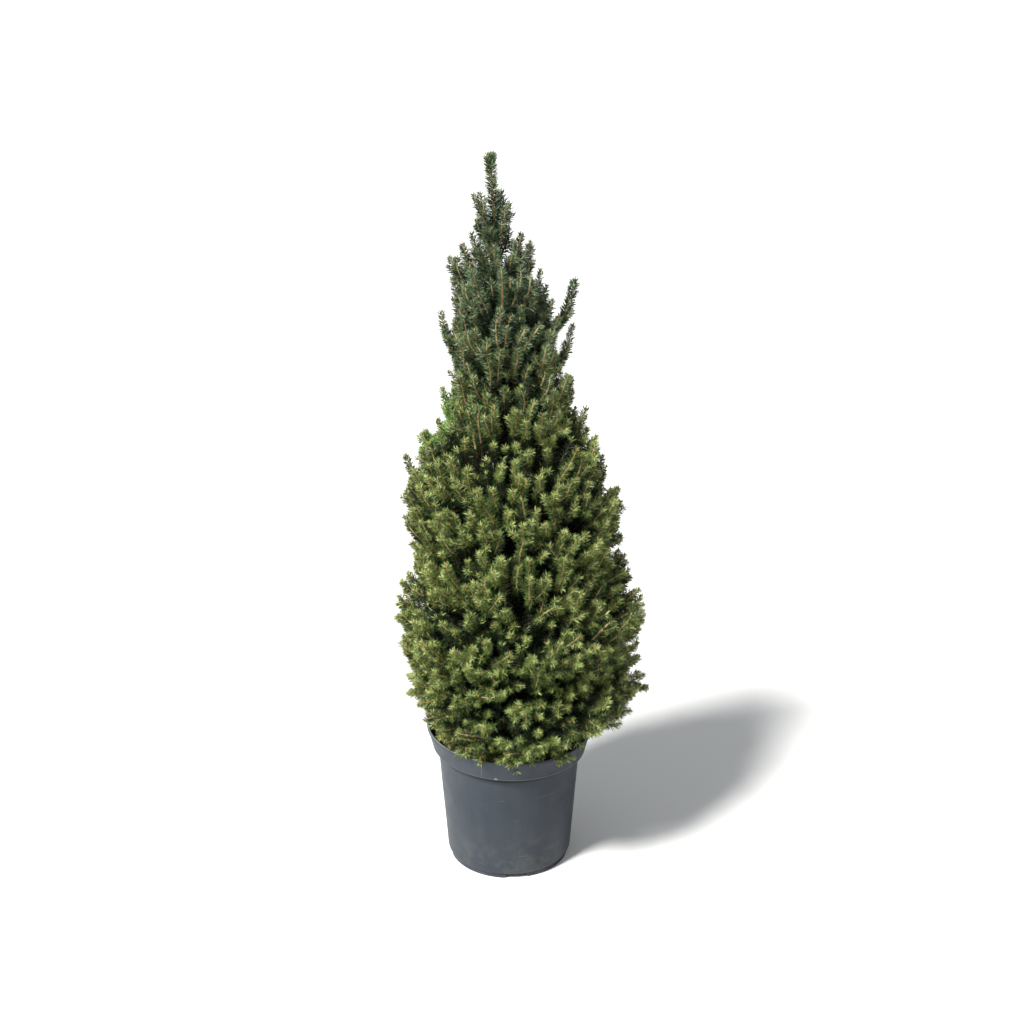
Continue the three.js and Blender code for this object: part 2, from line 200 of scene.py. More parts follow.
# The notches are cut out of the foot ring, and the drain holes out of the raised channel.
cutters = bmesh.new()
for i in range(notch_count):
    a = notch_turn + 2 * math.pi * i / notch_count
    out, side = Vector((math.cos(a), math.sin(a), 0)), Vector((-math.sin(a), math.cos(a), 0))
    outline = [(-notch_foot / 2, -0.001), (notch_foot / 2, -0.001)]
    outline += [(notch_head / 2, notch_height - 0.0015), (notch_head / 2 - 0.002, notch_height)]
    outline += [(-notch_head / 2 + 0.002, notch_height), (-notch_head / 2, notch_height - 0.0015)]
    rings = [
        [cutters.verts.new(out * r + side * u + Vector((0, 0, v))) for u, v in outline]
        for r in (foot_radius - 0.018, foot_radius + 0.010)
    ]
    cutters.faces.new(rings[0][::-1])
    cutters.faces.new(rings[1])
    for k in range(len(outline)):
        n = (k + 1) % len(outline)
        cutters.faces.new((rings[0][k], rings[0][n], rings[1][n], rings[1][k]))
for i in range(drain_count):
    a = notch_turn + 2 * math.pi * i / drain_count
    middle = Vector((drain_ring * math.cos(a), drain_ring * math.sin(a), skirt_height))
    hole = bmesh.ops.create_cone(
        cutters, cap_ends=True, segments=24, radius1=drain_radius, radius2=drain_radius, depth=0.012
    )
    bmesh.ops.translate(cutters, verts=hole["verts"], vec=middle)
bmesh.ops.recalc_face_normals(cutters, faces=cutters.faces)
cutter_mesh = bpy.data.meshes.new("cutters")
cutters.to_mesh(cutter_mesh)
cutters.free()
cutter = bpy.data.objects.new("cutters", cutter_mesh)
bpy.context.scene.collection.objects.link(cutter)
cut_away(pot, cutter)
smooth_by_angle(pot, 32)


def new_material(name, colour, roughness, specular=0.5):
    """A plain Principled material; colour is linear RGB."""
    material = bpy.data.materials.new(name)
    material.use_nodes = True
    shader = material.node_tree.nodes["Principled BSDF"]
    shader.inputs["Base Color"].default_value = (*colour, 1)
    shader.inputs["Roughness"].default_value = roughness
    shader.inputs["Specular IOR Level"].default_value = specular
    return material


def set_socket(material, socket, value):
    """Sets a socket to a plain value, or feeds it when the value is another node's output."""
    if isinstance(value, bpy.types.NodeSocket):
        material.node_tree.links.new(value, socket)
    else:
        socket.default_value = value


def add_node(material, kind, **settings):
    """Adds a shader node; a setting whose name is a socket sets or feeds that socket."""
    node = material.node_tree.nodes.new(kind)
    for key, value in settings.items():
        socket = key.replace("_", " ")
        if socket in node.inputs:
            set_socket(material, node.inputs[socket], value)
        else:
            setattr(node, key, value)
    return node


def arithmetic(material, kind, operation, *values):
    """One step of arithmetic by a Math or VectorMath node on outputs or plain values."""
    node = add_node(material, "ShaderNode" + kind, operation=operation)
    for socket, value in zip(node.inputs, values):
        set_socket(material, socket, value)
    gives_vector = kind == "VectorMath" and operation in ("SUBTRACT", "DIVIDE")
    return node.outputs["Vector" if gives_vector else "Value"]


def speckle(material, place, scale, detail, roughness):
    """A noise pattern over a place output."""
    pattern = add_node(material, "ShaderNodeTexNoise", Vector=place, Scale=scale, Detail=detail)
    pattern.inputs["Roughness"].default_value = roughness
    return pattern.outputs["Fac"]


def stretched(material, place, scale, turn=(0.0, 0.0, 0.0)):
    """A place output scaled apart along each axis, so that a pattern on it is drawn out."""
    node = add_node(material, "ShaderNodeMapping", Vector=place, Scale=scale, Rotation=turn)
    return node.outputs["Vector"]


def fade(material, source, start, end, first=0.0, last=1.0):
    """Goes evenly from first to last while the source goes from start to end."""
    node = add_node(material, "ShaderNodeMapRange", Value=source, From_Min=start, From_Max=end)
    node.inputs["To Min"].default_value = first
    node.inputs["To Max"].default_value = last
    return node.outputs["Result"]


def bump(material, height, strength, distance, **below):
    """A bump by a pattern's height, on top of another bump's Normal if that is given."""
    size = {"Strength": strength, "Distance": distance}
    return add_node(material, "ShaderNodeBump", Height=height, **size, **below).outputs["Normal"]


def feed_shader(material, **sockets):
    """Feeds outputs to the sockets of the material's own shader."""
    shader = material.node_tree.nodes["Principled BSDF"]
    for name, output in sockets.items():
        set_socket(material, shader.inputs[name.replace("_", " ")], output)


def plain(material, colour):
    """One colour, linear RGB, as an output."""
    node = add_node(material, "ShaderNodeRGB")
    node.outputs[0].default_value = (*colour, 1)
    return node.outputs[0]


def ramp(material, factor, stops):
    """A colour ramp fed by factor; stops are (place, linear RGB) pairs."""
    node = material.node_tree.nodes.new("ShaderNodeValToRGB")
    while len(node.color_ramp.elements) < len(stops):
        node.color_ramp.elements.new(0.5)
    for element, (place, colour) in zip(node.color_ramp.elements, stops):
        element.position = place
        element.color = (*colour, 1)
    material.node_tree.links.new(factor, node.inputs["Fac"])
    return node.outputs["Color"]


def mix(material, blend, factor, a, b):
    """Mixes two colour outputs; factor is a number or an output."""
    node = material.node_tree.nodes.new("ShaderNodeMix")
    node.data_type = "RGBA"
    node.blend_type = blend
    if isinstance(factor, float):
        node.inputs["Factor"].default_value = factor
    else:
        material.node_tree.links.new(factor, node.inputs["Factor"])
    material.node_tree.links.new(a, node.inputs[6])
    material.node_tree.links.new(b, node.inputs[7])
    return node.outputs[2]


plastic = new_material("slate_plastic", (0.04, 0.05, 0.06), 0.5, 0.26)
place = add_node(plastic, "ShaderNodeTexCoord").outputs["Object"]
axes = add_node(plastic, "ShaderNodeSeparateXYZ", Vector=place).outputs

# The pigment is never quite even: broad clouds, and faint streaks where the melt flowed up.
clouds = speckle(plastic, place, 9.0, 5.0, 0.55)
pigment = ramp(plastic, clouds, [(0.3, (0.036, 0.046, 0.058)), (0.7, (0.048, 0.059, 0.073))])
streaks = speckle(plastic, stretched(plastic, place, (55.0, 55.0, 3.0)), 1.0, 4.0, 0.6)
flow = ramp(plastic, streaks, [(0.35, (0.86, 0.87, 0.88)), (0.7, (1.1, 1.09, 1.07))])
pigment = mix(plastic, "MULTIPLY", 0.7, pigment, flow)

# The pot is painted lighter on its left and darker on its right: painted light and shade.
across_pot = fade(plastic, axes["X"], -0.1, 0.1)
painted_side_shade = [(0.0, (0.76, 0.79, 0.82)), (0.55, (0.6, 0.63, 0.67)), (1.0, (0.23, 0.27, 0.37))]
pigment = mix(plastic, "MULTIPLY", 1.0, pigment, ramp(plastic, across_pot, painted_side_shade))

# Dried splashes and dust gather low on the wall.
low_down = fade(plastic, axes["Z"], 0.0, 0.11, 0.55, 0.0)
blotches = speckle(plastic, place, 26.0, 9.0, 0.68)
patchy = ramp(plastic, blotches, [(0.46, (0, 0, 0)), (0.68, (1, 1, 1))])
dusty = arithmetic(plastic, "Math", "MULTIPLY", low_down, patchy)
pigment = mix(plastic, "MIX", dusty, pigment, plain(plastic, (0.11, 0.105, 0.098)))

# Handling has left pale hair-line scratches, more in some places than in others.
tilted = stretched(plastic, place, (30.0, 30.0, 260.0), (0.5, 0.3, 0.2))
hairs = ramp(plastic, speckle(plastic, tilted, 1.0, 3.0, 0.5), [(0.66, (0, 0, 0)), (0.72, (1, 1, 1))])
handled = speckle(plastic, place, 14.0, 2.0, 0.5)
handled = ramp(plastic, handled, [(0.58, (0, 0, 0)), (0.7, (0.2, 0.2, 0.2))])
pale = plain(plastic, (0.3, 0.31, 0.32))
pigment = mix(plastic, "MIX", arithmetic(plastic, "Math", "MULTIPLY", hairs, handled), pigment, pale)

# Rubs show on the front: on the collar's lower edge, under it, along the mould's seam, and
# as long faint scratches across the wall.
seam_front = (math.cos(seam_angles[0]) * collar_radius, math.sin(seam_angles[0]) * collar_radius)
rubs = [  # middle, half sizes along X, Y and Z, and strength
    ((-0.0197, -0.116, collar_foot + 0.0042), (0.0032, 0.02, 0.0026), 0.45),
    ((0.068, -0.088, collar_foot - 0.006), (0.0018, 0.02, 0.0012), 0.6),
    ((*seam_front, collar_foot + 0.019), (0.0005, 0.02, 0.017), 0.22),
    ((0.056, -0.094, 0.146), (0.026, 0.03, 0.0006), 0.07),
    ((-0.096, -0.06, 0.118), (0.012, 0.02, 0.0005), 0.12),
]
for middle, half_size, strength in rubs:
    apart = arithmetic(plastic, "VectorMath", "SUBTRACT", place, middle)
    scaled = arithmetic(plastic, "VectorMath", "DIVIDE", apart, half_size)
    span = arithmetic(plastic, "VectorMath", "LENGTH", scaled)
    ragged = arithmetic(plastic, "Math", "ADD", span, blotches)
    pigment = mix(plastic, "MIX", fade(plastic, ragged, 1.1, 1.6, strength, 0.0), pigment, pale)

level = arithmetic(plastic, "VectorMath", "DOT_PRODUCT", place, (rim_tilt, 0, 1))


def off_level(z):
    """How far a place is above or below a height on the pot's tilted top."""
    return arithmetic(plastic, "Math", "ABSOLUTE", arithmetic(plastic, "Math", "SUBTRACT", level, z))


# Thin pale lines are painted along the top of the lip and the collar's lower edge: painted highlights.
painted_edge_highlights = [(pot_height + 0.0017, 0.0012, 0.5), (collar_foot + 0.0026, 0.0016, 0.12)]
for edge, half_width, strength in painted_edge_highlights:
    edge_highlight = fade(plastic, off_level(edge), 0.0, half_width, strength, 0.0)
    pigment = mix(plastic, "MIX", edge_highlight, pigment, pale)

# A near-black band is painted on the wall just under the collar, most of it towards the front right: painted
# shadow under the collar's overhang.
under_collar_band = fade(plastic, off_level(collar_foot - 0.0038), 0.0026, 0.0042, 0.9, 0.0)
painted_collar_shadow = arithmetic(plastic, "Math", "MULTIPLY", under_collar_band, fade(plastic, axes["X"], -0.065, -0.02))
pigment = mix(plastic, "MIX", painted_collar_shadow, pigment, plain(plastic, (0.004, 0.005, 0.006)))

# The surface has a fine moulded grain and slow waves, and is duller where it is dusty.
sheen = ramp(plastic, blotches, [(0.3, (0.44, 0.44, 0.44)), (0.75, (0.66, 0.66, 0.66))])
grain = speckle(plastic, place, 900.0, 2.0, 0.6)
skin = bump(plastic, grain, 0.12, 0.0004)
waves = bump(plastic, streaks, 0.25, 0.0008, Normal=skin)
feed_shader(plastic, Base_Color=pigment, Roughness=sheen, Normal=waves)
pot.data.materials.clear()
pot.data.materials.append(plastic)
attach(pot, "root")
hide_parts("pot")

# ------------------------------------------------------------------ potting mix
# Peat with composted bark, pressed into the pot round the roots. Its top is crumbly and
# littered with chips of bark.
mix_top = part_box("root_ball")[1].z - 0.0015
rng = np.random.default_rng(11)


def crumbly(x, y):
    """Height of the mix's surface above its mean level."""
    p = Vector((x * 38, y * 38, 0.4))
    return 0.0032 * noise.fractal(p, 0.9, 2.1, 5) + 0.0018 * noise.noise(Vector((x * 240, y * 240, 2.0)))


mix_foot = 0.0025
mix_profile = [(0, mix_foot), (pad_radius - 0.003, mix_foot), (pad_radius + 0.002, mix_foot + 0.008)]
mix_profile += [(wall_radius(0.012) - 0.003, 0.0125), (wall_radius(0.1) - 0.0026, 0.1)]
mix_profile += [(wall_radius(collar_foot) - 0.0026, collar_foot)]
mix_edge = wall_radius(mix_top) - 0.003
mix_profile += [(mix_edge, mix_top - 0.003)]
mix_profile += [(r, mix_top) for r in np.linspace(mix_edge - 0.002, 0.004, 46)] + [(0, mix_top)]
root_ball = lathe("potting_mix", mix_profile, list(np.linspace(0, 2 * math.pi, 150, endpoint=False)))
for vertex in root_ball.data.vertices:
    if vertex.co.z > mix_top - 0.001:
        vertex.co.z += crumbly(vertex.co.x, vertex.co.y)
root_ball.data.shade_smooth()

peat = new_material("peat_and_bark", (0.03, 0.02, 0.013), 0.95, 0.2)
place = add_node(peat, "ShaderNodeTexCoord").outputs["Object"]
crumbs = speckle(peat, place, 160.0, 8.0, 0.7)
browns = [(0.3, (0.012, 0.008, 0.006)), (0.55, (0.04, 0.026, 0.017)), (0.8, (0.1, 0.065, 0.04))]
earth = ramp(peat, crumbs, browns)
feed_shader(peat, Base_Color=earth, Normal=bump(peat, crumbs, 0.9, 0.002))
root_ball.data.materials.append(peat)
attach(root_ball, "root")
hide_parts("root_ball")


def joined_mesh(name, verts, face_groups, materials, shades=None, smooth=False):
    """One mesh from arrays: face_groups is a list of index arrays, each of one face size."""
    mesh = bpy.data.meshes.new(name)
    mesh.vertices.add(len(verts))
    mesh.vertices.foreach_set("co", np.asarray(verts, np.float32).ravel())
    flat = np.concatenate([group.ravel() for group in face_groups]).astype(np.int32)
    sizes = np.concatenate([np.full(len(group), group.shape[1]) for group in face_groups])
    starts = np.concatenate([[0], np.cumsum(sizes)[:-1]]).astype(np.int32)
    mesh.loops.add(len(flat))
    mesh.loops.foreach_set("vertex_index", flat)
    mesh.polygons.add(len(sizes))
    mesh.polygons.foreach_set("loop_start", starts)
    for material in materials:
        mesh.materials.append(material)
    if shades is not None:
        mesh.polygons.foreach_set("material_index", np.asarray(shades, np.int32))
    mesh.polygons.foreach_set("use_smooth", np.full(len(sizes), smooth))
    mesh.update(calc_edges=True)
    piece = bpy.data.objects.new(name, mesh)
    bpy.context.scene.collection.objects.link(piece)
    return piece


def unit(vectors):
    """Vectors of length 1, along the last axis."""
    return vectors / np.maximum(np.linalg.norm(vectors, axis=-1, keepdims=True), 1e-9)


def level_way(bearing):
    """Level vectors of length 1 at the bearings."""
    return np.stack([np.cos(bearing), np.sin(bearing), np.zeros(len(bearing))], 1)


# Chips of bark: flat, broken blocks that lie at every angle on the mix.
chip_count = 900
angle = rng.uniform(0, 2 * math.pi, chip_count)
radius = (mix_edge - 0.005) * np.sqrt(rng.uniform(0.03, 1, chip_count))
centre = radius[:, None] * level_way(angle)
centre[:, 2] = [mix_top + crumbly(x, y) for x, y, _ in centre]
half = np.stack([rng.uniform(0.0015, 0.006, chip_count), rng.uniform(0.001, 0.0035, chip_count)], 1)
half = np.concatenate([half, rng.uniform(0.0005, 0.0013, (chip_count, 1))], 1)
corner = np.array([(x, y, z) for z in (-1, 1) for y in (-1, 1) for x in (-1, 1)], float)
chips = corner[None] * half[:, None] * rng.uniform(0.65, 1.1, (chip_count, 8, 3))
along = unit(rng.normal(size=(chip_count, 3)) * (1, 1, 0.25))
across = unit(np.cross(along, (0, 0, 1.0)) + rng.normal(size=(chip_count, 3)) * 0.25)
chips = (
    centre[:, None]
    + chips[..., :1] * along[:, None]
    + chips[..., 1:2] * across[:, None]
    + chips[..., 2:] * unit(np.cross(along, across))[:, None]
)
cube = np.array([(0, 2, 3, 1), (4, 5, 7, 6), (0, 1, 5, 4), (2, 6, 7, 3), (0, 4, 6, 2), (1, 3, 7, 5)])
faces = (cube[None] + 8 * np.arange(chip_count)[:, None, None]).reshape(-1, 4)
chip_tones = [(0.06, 0.035, 0.02), (0.11, 0.065, 0.035), (0.03, 0.02, 0.014), (0.17, 0.11, 0.065)]
chip_bark = [new_material(f"bark_chip_{i + 1}", tone, 0.85, 0.25) for i, tone in enumerate(chip_tones)]
chip_shades = np.repeat(rng.integers(0, len(chip_tones), chip_count), 6)
litter = joined_mesh("bark_chips", chips.reshape(-1, 3), [faces], chip_bark, chip_shades)
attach(litter, "root")

# ------------------------------------------------------------------ the trunk
# One stem from the mix to the tip, grey-brown and finely scaly at the foot and a smooth
# tan colour in the young leader. Its line and thickness are read from the frame.
trunk_corners = np.array([v.co for v in frame["nodes"]["trunk"].data.vertices])
trunk_heights = np.unique(np.round(trunk_corners[:, 2], 4))
rings = [trunk_corners[abs(trunk_corners[:, 2] - z) < 2e-4] for z in trunk_heights]
trunk_middles = np.array([ring.mean(0) for ring in rings])
trunk_radii = np.array([np.hypot(*(ring - ring.mean(0))[:, :2].T).mean() for ring in rings])
trunk_foot, trunk_tip = trunk_heights[0], trunk_heights[-1]
UP = np.array((0, 0, 1.0))


def trunk_at(z):
    """The trunk's middle at a height."""
    z = np.asarray(z, float)
    x = np.interp(z, trunk_heights, trunk_middles[:, 0])
    y = np.interp(z, trunk_heights, trunk_middles[:, 1])
    return np.stack([x, y, z], -1)


def trunk_thickness(z):
    return np.interp(z, trunk_heights, trunk_radii)


def tubes(paths, radii, sides):
    """Closed tapering tubes along many paths of equal point count, as vertices and faces."""
    count, points = paths.shape[:2]
    tangent = unit(np.gradient(paths, axis=1))
    steep = abs(tangent.mean(1)[:, 2]) > 0.8
    reference = np.where(steep[:, None], (1.0, 0, 0), (0, 0, 1.0))[:, None]
    across = unit(np.cross(tangent, reference))
    over = np.cross(across, tangent)
    turns = 2 * math.pi * np.arange(sides) / sides
    spoke = across[:, :, None] * np.cos(turns)[:, None] + over[:, :, None] * np.sin(turns)[:, None]
    verts = paths[:, :, None] + spoke * radii[:, :, None, None]
    ring = np.arange(sides)
    quad = np.stack([ring, ring + sides, (ring + 1) % sides + sides, (ring + 1) % sides], 1)
    wall_faces = (quad[None] + sides * np.arange(points - 1)[:, None, None]).reshape(-1, 4)
    each = sides * points * np.arange(count)[:, None, None]
    walls = (wall_faces[None] + each).reshape(-1, 4)
    foot_cap = (ring[None, None] + each).reshape(-1, sides)
    tip_cap = (ring[::-1][None, None] + sides * (points - 1) + each).reshape(-1, sides)
    return verts.reshape(-1, 3), [walls, np.concatenate([foot_cap, tip_cap])], spoke.reshape(-1, 3)


def bark_relief(verts, outward, grain_scale, depth):
    """Moves each vertex in or out by a ridged pattern that is drawn out along the stem."""
    drawn_out = verts * (grain_scale, grain_scale, grain_scale * 0.35)
    ridge = np.array([1 - 2 * abs(noise.fractal(Vector(p), 0.8, 2.2, 4)) for p in drawn_out])
    return verts + outward * (depth * ridge)[:, None]


stem_z = np.linspace(trunk_foot - 0.004, trunk_tip, 260)
stem_path = trunk_at(stem_z)[None]
slimmer = np.interp(stem_z, [0.85, 1.0, trunk_tip], [1, 0.7, 0.75])
stem_radii = (trunk_thickness(stem_z) * slimmer * (1 + 0.03 * np.sin(stem_z * 130)))[None]
verts, faces, outward = tubes(stem_path, stem_radii, 28)
depth = 0.0011 * np.clip(trunk_thickness(verts[:, 2]) / 0.012, 0.1, 1)
verts = bark_relief(verts, outward, 210, depth)


def bark_material(name, dark, light, scale):
    """Scaly bark: two browns in long fibres, darkened along stretched cells, with a bump."""
    material = new_material(name, dark, 0.85, 0.3)
    place = add_node(material, "ShaderNodeTexCoord").outputs["Object"]
    along = stretched(material, place, (scale, scale, scale * 0.4))
    cells = add_node(material, "ShaderNodeTexVoronoi", Vector=along, Scale=1.0)
    fibres = speckle(material, along, 2.4, 6.0, 0.65)
    tone = ramp(material, fibres, [(0.3, dark), (0.75, light)])
    cracks = ramp(material, cells.outputs["Distance"], [(0.05, (1, 1, 1)), (0.75, (0.45, 0.42, 0.4))])
    browns = mix(material, "MULTIPLY", 0.75, tone, cracks)
    feed_shader(material, Base_Color=browns, Normal=bump(material, fibres, 0.6, 0.0008))
    return material


old_bark = bark_material("old_bark", (0.07, 0.045, 0.03), (0.2, 0.14, 0.09), 260)
young_bark = bark_material("leader_bark", (0.36, 0.22, 0.1), (0.6, 0.42, 0.22), 420)
leader_foot = 0.93
stem_shades = (verts[faces[0][:, 0], 2] > leader_foot).astype(int)
stem_shades = np.concatenate([stem_shades, [0, 1]])
trunk = joined_mesh("trunk_bark", verts, faces, [old_bark, young_bark], stem_shades, smooth=True)
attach(trunk, "root")
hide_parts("trunk")

# ------------------------------------------------------------------ the crown's outline
# A dwarf spruce is never clipped, and its shoots all stop at about the same distance from
# the stem, so the crown has a close outline. It is measured here from the frame's masses.
slot_of = {part["node"]: part["material_slot"] for part in frame["record"]["subparts"]}
masses = [name for name, slot in slot_of.items() if slot in ("needles", "blue_needles")]
lone_masses = ["leader", "right_plume", "stray_shoot"]
corners, polygons = [], []
for name in masses:
    if name in lone_masses:
        continue
    data = frame["nodes"][name].data
    polygons += [[i + len(corners) for i in polygon.vertices] for polygon in data.polygons]
    corners += [v.co.copy() for v in data.vertices]
crown_tree = BVHTree.FromPolygons(corners, polygons)

outline_step = 0.01
outline_z = np.arange(0.19, 1.12, outline_step)
outline_turns = 72
reach = np.zeros((len(outline_z), outline_turns))
for i, z in enumerate(outline_z):
    axis = Vector(trunk_at(z))
    for j in range(outline_turns):
        a = 2 * math.pi * j / outline_turns
        out = Vector((math.cos(a), math.sin(a), 0))
        hit = crown_tree.ray_cast(axis + out * 0.4, -out)[0]
        if hit is not None:
            reach[i, j] = max((hit - axis).dot(out), 0)


def spread_most(field, up, round_about, pick):
    """The largest (pick=np.maximum) or smallest (np.minimum) value in a window round each place."""
    best = field.copy()
    for i in range(-up, up + 1):
        shifted = np.roll(field, i, axis=0)
        if i > 0:
            shifted[:i] = field[:1]
        elif i < 0:
            shifted[i:] = field[-1:]
        for j in range(-round_about, round_about + 1):
            best = pick(best, np.roll(shifted, j, axis=1))
    return best


# The grooves between the masses are filled, since shoots of one grow into the next. Just
# above the pot the skirt flares out from the rim, and it starts higher on the right.
skirt_foot, skirt_lift, skirt_reach, skirt_slope = 0.212, 0.035, 0.130, 1.6
rim_cover, rim_cover_top = 0.127, 0.26
closed = spread_most(spread_most(reach, 3, 3, np.maximum), 3, 3, np.minimum)
to_right = np.clip(np.cos(2 * math.pi * np.arange(outline_turns) / outline_turns + 0.35), 0, 1)
flare = np.clip(outline_z[:, None] - skirt_foot - skirt_lift * to_right, 0, 1)
closed = np.minimum(closed, skirt_reach + flare * skirt_slope)
closed = np.maximum(closed, np.where(outline_z < rim_cover_top, rim_cover, 0)[:, None])

# The crown is a little fuller than the masses low down and slimmer at its shoulders, and it
# has its own bumps and dents.
swell_z, swell = [0.26, 0.32, 0.6, 0.66, 0.74, 0.82, 0.88], [0, 0.005, 0.006, 0, -0.007, -0.006, 0]
closed = closed + np.interp(outline_z, swell_z, swell)[:, None]
lumps = [  # bearing in degrees, height, and how far the outline stands out or in there
    (180, 0.60, 0.014), (180, 0.445, 0.006), (180, 0.365, 0.013), (180, 0.484, -0.010),
    (180, 0.674, -0.014), (180, 0.76, -0.006), (0, 0.60, 0.016), (0, 0.484, 0.022),
    (0, 0.445, -0.012), (0, 0.405, 0.006), (-20, 0.26, 0.018), (0, 0.76, -0.010),
]
lump_width, lump_height = 35, 0.02
bearings = 360 * np.arange(outline_turns) / outline_turns
for turn_degrees, z, change in lumps:
    aside = np.abs((bearings - turn_degrees + 180) % 360 - 180) / lump_width
    above = (outline_z - z) / lump_height
    closed += change * np.exp(-(above**2))[:, None] * np.exp(-(aside**2))

# Towards the tip the outline follows the masses themselves.
open_top = np.clip((outline_z - 0.9) / 0.06, 0, 1)[:, None]
reach = closed * (1 - open_top) + reach * open_top
reach = 0.5 * reach + 0.25 * (np.roll(reach, 1, 1) + np.roll(reach, -1, 1))


def outline_at(z, bearing):
    """The outline's distance from the trunk's middle at a height and a bearing."""
    j = (bearing / (2 * math.pi)) % 1 * outline_turns
    i = np.clip((z - outline_z[0]) / outline_step, 0, len(outline_z) - 1.001)
    i0, j0 = i.astype(int), np.floor(j).astype(int) % outline_turns
    u, v = i - i0, j - np.floor(j)
    j1 = (j0 + 1) % outline_turns
    low = reach[i0, j0] * (1 - v) + reach[i0, j1] * v
    high = reach[i0 + 1, j0] * (1 - v) + reach[i0 + 1, j1] * v
    return low * (1 - u) + high * u


def round_trunk(points):
    """The bearings of points round the trunk's middle, and how far they are from it."""
    offset = points - trunk_at(points[..., 2])
    return np.arctan2(offset[..., 1], offset[..., 0]), np.hypot(offset[..., 0], offset[..., 1])


def crown_depth(points):
    """How far points lie inside the crown's outline, level with the stem."""
    bearing, radius = round_trunk(points)
    return outline_at(points[..., 2], bearing) - radius


rng = np.random.default_rng(23)
golden = math.pi * (3 - math.sqrt(5))


def places_under_outline(spacing, depth, low, high, unevenness):
    """Evenly spread places at a depth under the outline, going round by the golden angle."""
    z = np.linspace(low, high, 300)
    turns = np.linspace(0, 2 * math.pi, 24, endpoint=False)
    mean = outline_at(z[:, None] + 0 * turns, turns[None] + 0 * z[:, None]).mean(1) - depth
    mean = np.maximum(mean, 0.004)
    slant = np.hypot(1, np.gradient(mean, z))
    area = np.concatenate([[0], np.cumsum((2 * math.pi * mean * slant * (z[1] - z[0]))[1:])])
    count = int(area[-1] / (0.87 * spacing**2))
    z = np.interp((np.arange(count) + 0.5) / count * area[-1], area, z)
    z = z + rng.normal(size=count) * unevenness * spacing
    bearing = golden * np.arange(count)
    bearing = bearing + rng.normal(size=count) * unevenness * spacing / 0.12
    out = level_way(bearing)
    radius = np.maximum(outline_at(z, bearing) - depth, 0.004)
    return trunk_at(z) + out * radius[:, None], out


def rising_way(place, out, sideways, unevenness):
    """Which way a shoot points: nearly level or drooping low down, nearly upright high up."""
    heights = [0.20, 0.24, 0.30, 0.40, 0.50, 0.60, 0.72, 0.85, 0.95]
    rise = np.interp(place[:, 2], heights, [-12, 6, 28, 44, 54, 63, 72, 76, 80])
    rise = np.radians(rise + rng.normal(size=len(place)) * unevenness)[:, None]
    bearing = np.arctan2(out[:, 1], out[:, 0]) + rng.normal(size=len(place)) * sideways
    return level_way(bearing) * np.cos(rise) + UP * np.sin(rise)


def limbs_between(foot, tip, tip_way, points, hook=0.5):
    """Curved limbs from each foot to each tip, which arrive pointing along the tip's way."""
    span = np.linalg.norm(tip - foot, axis=1)[:, None]
    knee = tip - tip_way * span * hook
    t = np.linspace(0, 1, points)[None, :, None]
    line = (1 - t) ** 2 * foot[:, None] + 2 * t * (1 - t) * knee[:, None] + t**2 * tip[:, None]
    sway = rng.normal(size=(len(foot), 1, 3)) * 0.015 * span[:, None]
    return line + sway * np.sin(2 * math.pi * t)


def lengths_of(lines):
    return np.linalg.norm(np.diff(lines, axis=1), axis=2).sum(1)


def node_behind(tip, way, distance, nodes):
    """For each tip the node it grows from: near a given distance back, and well behind it."""
    tree = KDTree(len(nodes))
    for i, node in enumerate(nodes):
        tree.insert(node, i)
    tree.balance()
    wish = tip - way * distance
    chosen = []
    for place, heading, spot in zip(wish, way, tip):
        near = [i for _, i, _ in tree.find_n(place, 16)]
        back = spot - nodes[near]
        span = np.linalg.norm(back, axis=1)
        along = back @ heading / np.maximum(span, 1e-6)
        miss = np.linalg.norm(nodes[near] - place, axis=1)
        chosen.append(near[int(np.argmin(miss + 0.06 * (1 - along)))])
    return np.array(chosen)


# ------------------------------------------------------------------ boughs
# Woody boughs leave the trunk all round and curve upwards, each to its own part of the
# crown. The low ones are nearly level and the high ones almost as steep as the trunk.
bough_tip, bough_out = places_under_outline(0.062, 0.052, 0.235, 0.93, 0.12)
bough_way = rising_way(bough_tip, bough_out, 0.2, 6)
tip_distance = round_trunk(bough_tip)[1]
slope = np.interp(bough_tip[:, 2], [0.24, 0.35, 0.5, 0.7, 0.9], [0.1, 0.35, 0.7, 1.3, 2.2])
foot_z = np.maximum(bough_tip[:, 2] - tip_distance * slope, 0.198 + rng.uniform(0, 0.03, len(bough_tip)))
bough_line = limbs_between(trunk_at(foot_z), bough_tip, bough_way, 14, 0.4)
bough_length = lengths_of(bough_line)
bough_base = 0.0014 + 0.012 * bough_length
taper = np.linspace(1, 0, bough_line.shape[1])[None]
bough_radii = 0.0008 + (bough_base[:, None] - 0.0008) * taper**0.9
verts, faces, outward = tubes(bough_line, bough_radii, 7)
verts = bark_relief(verts, outward, 300, 0.0004)
boughs = joined_mesh("bough_bark", verts, faces, [old_bark], smooth=True)
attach(boughs, "root")
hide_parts(*[name for name in slot_of if name.startswith("bough_")])

# ------------------------------------------------------------------ branchlets and shoots
# Each bough forks into branchlets, and each branchlet into this year's and last year's
# shoots, thin and tan. Every shoot grows towards its own free place at the outline.
branchlet_tip, branchlet_out = places_under_outline(0.036, 0.030, 0.225, 0.95, 0.15)
branchlet_way = rising_way(branchlet_tip, branchlet_out, 0.3, 8)
joints = bough_line[:, 4:].reshape(-1, 3)
back = unit(branchlet_way + 0.6 * branchlet_out)
joint = node_behind(branchlet_tip, back, 0.05, joints)
branchlet_line = limbs_between(joints[joint], branchlet_tip, branchlet_way, 8)
branchlet_length = lengths_of(branchlet_line)

